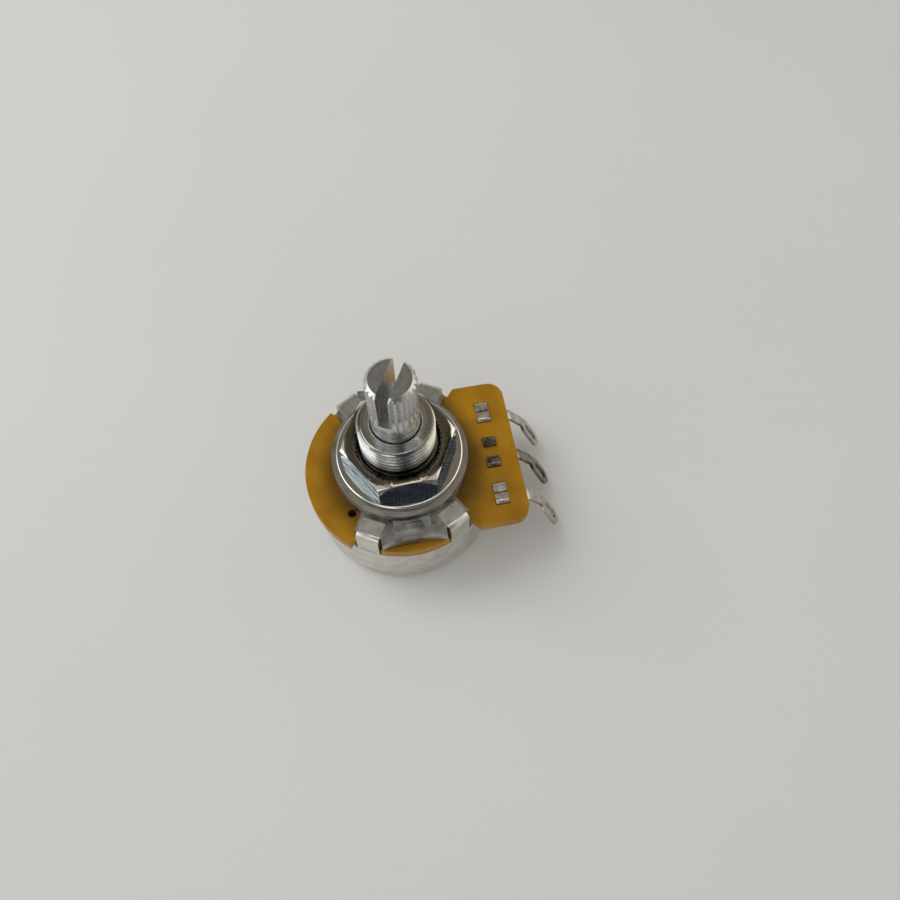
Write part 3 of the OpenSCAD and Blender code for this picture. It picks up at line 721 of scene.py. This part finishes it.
# %% Cutting
def cut_with(obj, tool, operation):
    mod = obj.modifiers.new("cut", "BOOLEAN")
    mod.operation = operation
    mod.solver = "EXACT"
    mod.object = tool
    apply_modifiers(obj)
    bpy.data.objects.remove(tool)


# %% [markdown]
# The bar's hexagon is turned as the nut stands in the photo. Corner radius and half the width
# across flats are tied by the cosine of 30 degrees.

# %% Hexagon bar
ACROSS_FLATS = 12.7 * MM
NUT_TURN = 1.7
CORNER_RADIUS = ACROSS_FLATS / 2 / math.cos(math.pi / 6)

low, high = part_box("hex_nut")
z0, z1 = low[2], high[2]
turns = [math.radians(NUT_TURN + 60 * i) for i in range(6)]
corners = [(CORNER_RADIUS * math.cos(turn), CORNER_RADIUS * math.sin(turn)) for turn in turns]
sides = [(i, (i + 1) % 6, (i + 1) % 6 + 6, i + 6) for i in range(6)]
mesh = bpy.data.meshes.new("hex_nut_finished")
mesh.from_pydata([(x, y, z) for z in (z0, z1) for x, y in corners], [],
                 [(5, 4, 3, 2, 1, 0), (6, 7, 8, 9, 10, 11)] + sides)
nut = link_new("hex_nut_finished", mesh)
print("nut height, mm:", round((z1 - z0) / MM, 3))

# %% [markdown]
# The cone leaves a crown a little wider than the flats, so that it only takes the corners. Nobody
# sees two threads mesh inside a nut, so nut and bushing meet there on plain cylinders, halfway up
# the thread. Above, the hole opens in a countersink.

# %% Turned crown, bore and countersink
CROWN = ACROSS_FLATS / 2 + 0.3 * MM
CONE_DROP = 4 * MM
HOLE, SINK, MOUTH = 4.52 * MM, 0.55 * MM, 5.4125 * MM

skirt = CROWN + CONE_DROP / math.tan(math.radians(30))
cone = lathe_solid("cone", [(0, z1 - CONE_DROP), (skirt, z1 - CONE_DROP), (CROWN, z1), (0, z1)])
cut_with(nut, cone, "INTERSECT")
drill = lathe_solid("bore", [(0, z0 - MM), (HOLE, z0 - MM), (HOLE, z1 - SINK), (MOUTH, z1),
                             (MOUTH, z1 + MM), (0, z1 + MM)])
cut_with(nut, drill, "DIFFERENCE")
soften(nut, width=0.13 * MM)
shade(nut)
finish_piece(nut, "hex_nut")

# %% [markdown]
# ## The thread
#
# The CAD bushing is plain, because a fit test needs a true cylinder. Here the thread is cut as a
# lathe cuts it: a pointed section runs along a helix and is taken away. Stacked rings would look
# alike from afar, but a helix shows its slope at the top, where the groove runs out over the rim.
# What follows a path is work for Geometry Nodes: one spiral, one four-cornered section, and a
# sweep. The section's width is a share of the pitch, so that the crests between two grooves never
# vanish.

# %% The cutter's inputs
PITCH = 25.4 / 32 * MM
CREST = 4.7625 * MM
WIDE_HALF, NARROW_HALF, OVERSHOOT = 0.485, 0.05, 0.038  # shares of the pitch
THREAD_INPUTS = [
    ("Radius", "NodeSocketFloat", CREST),
    ("Pitch", "NodeSocketFloat", PITCH),
    ("Turns", "NodeSocketFloat", 8.0),
    ("Depth", "NodeSocketFloat", 0.50 * MM),
    ("Start", "NodeSocketFloat", 0.0),
    ("Points per turn", "NodeSocketInt", 96),
    ("Material", "NodeSocketMaterial", MATERIALS["zinc_casting"]),
]
print("thread pitch, mm:", PITCH / MM)

# %% [markdown]
# The spiral node turns clockwise unless it is reversed, and a right-hand thread rises the other
# way. With its normals set to Z up, the section's x axis points straight away from the shaft.

# %% The cutter's tree
def corner(tree, x, size, share):
    y = math_node(tree, "MULTIPLY", size["Pitch"], share)
    return add(tree, "ShaderNodeCombineXYZ", {"X": x, "Y": y}).outputs["Vector"]


def thread_section(tree, size):
    inside = math_node(tree, "MULTIPLY", size["Depth"], -1.0)
    outside = math_node(tree, "MULTIPLY", size["Pitch"], OVERSHOOT)
    points = {"Point 1": corner(tree, inside, size, -NARROW_HALF),
              "Point 2": corner(tree, outside, size, -WIDE_HALF),
              "Point 3": corner(tree, outside, size, WIDE_HALF),
              "Point 4": corner(tree, inside, size, NARROW_HALF)}
    section = add(tree, "GeometryNodeCurvePrimitiveQuadrilateral", points, mode="POINTS")
    return section.outputs["Curve"]


def thread_tree():
    tree = bpy.data.node_groups.new("thread_cutter", "GeometryNodeTree")
    for label, kind, value in THREAD_INPUTS:
        tree.interface.new_socket(label, in_out="INPUT", socket_type=kind).default_value = value
    tree.interface.new_socket("Geometry", in_out="OUTPUT", socket_type="NodeSocketGeometry")
    size = tree.nodes.new("NodeGroupInput").outputs
    rise = math_node(tree, "MULTIPLY", size["Pitch"], size["Turns"])
    path = add(tree, "GeometryNodeCurveSpiral",
               {"Resolution": size["Points per turn"], "Rotations": size["Turns"], "Height": rise,
                "Start Radius": size["Radius"], "End Radius": size["Radius"], "Reverse": True})
    path = add(tree, "GeometryNodeSetCurveNormal", {"Curve": path.outputs["Curve"]}, mode="Z_UP")
    sweep = add(tree, "GeometryNodeCurveToMesh",
                {"Curve": path.outputs["Curve"], "Profile Curve": thread_section(tree, size),
                 "Fill Caps": True})
    lift = add(tree, "ShaderNodeCombineXYZ", {"Z": size["Start"]}).outputs["Vector"]
    moved = add(tree, "GeometryNodeTransform",
                {"Geometry": sweep.outputs["Mesh"], "Translation": lift})
    real = add(tree, "GeometryNodeRealizeInstances", {"Geometry": moved.outputs["Geometry"]})
    done = add(tree, "GeometryNodeSetMaterial",
               {"Geometry": real.outputs["Geometry"], "Material": size["Material"]})
    add(tree, "NodeGroupOutput", {"Geometry": done.outputs["Geometry"]})
    return tree


# %% [markdown]
# The modifier's inputs are set by each socket's identifier. The swept mesh is then made plain, and
# its normals are turned outwards, so that the boolean knows which side of it is solid.

# %% The cutter
def thread_cutter(z0, z1):
    obj = link_new("thread_cutter", bpy.data.meshes.new("thread_cutter"))
    mod = obj.modifiers.new("thread", "NODES")
    mod.node_group = thread_tree()
    keys = {item.name: item.identifier for item in mod.node_group.interface.items_tree
            if item.in_out == "INPUT"}
    mod[keys["Turns"]] = (z1 - z0) / PITCH
    mod[keys["Start"]] = z0
    mod[keys["Material"]] = MATERIALS["zinc_casting"]
    apply_modifiers(obj)
    bm = bmesh.new()
    bm.from_mesh(obj.data)
    bmesh.ops.recalc_face_normals(bm, faces=bm.faces)
    print("thread cutter: faces", len(bm.faces), "mm3", round(bm.calc_volume() / MM ** 3, 2))
    bm.to_mesh(obj.data)
    bm.free()
    return obj


# %% [markdown]
# The thread starts hidden in the nut and runs out over the bushing's rim. The casting's own edges
# are softened first, because a bevel on the thread's thousands of edges would blunt its crests.

# %% Cutting the thread
RUN_OUT = 0.5 * MM

plate = merged("bushing_plate", "bushing_plate_finished")
soften(plate, width=0.10 * MM)
cut_with(plate, thread_cutter(NUT_TOP - RUN_OUT, BUSHING_TOP + RUN_OUT), "DIFFERENCE")
shade(plate, 30.0)
finish_piece(plate, "bushing_plate")

# %% [markdown]
# ## Floor
#
# A pale desk top, with the faintest tooth so that it isn't a flat colour. It reaches far past the
# camera's view, so that no edge of it shows in a mirror.

# %% Floor
REACH = 6.0

mat, tree, shader = new_material("desk")
tone = use(tree, grain, "Value", Scale=14.0, Detail=3.0)
tooth = use(tree, grain, "Value", Scale=2500.0, Detail=2.0)
fill(tree, shader, {"Base Color": tint(tree, tone, (0.80, 0.795, 0.775), (0.83, 0.822, 0.80)),
                    "Roughness": 0.6, "Normal": bump(tree, tooth, 6e-6)})
mesh = bpy.data.meshes.new("floor")
mesh.from_pydata([(-REACH, -REACH, 0), (REACH, -REACH, 0), (REACH, REACH, 0), (-REACH, REACH, 0)],
                 [], [(0, 1, 2, 3)])
floor = link_new("floor", mesh)
floor.data.materials.append(mat)
print("floor, m:", 2 * REACH, "square")
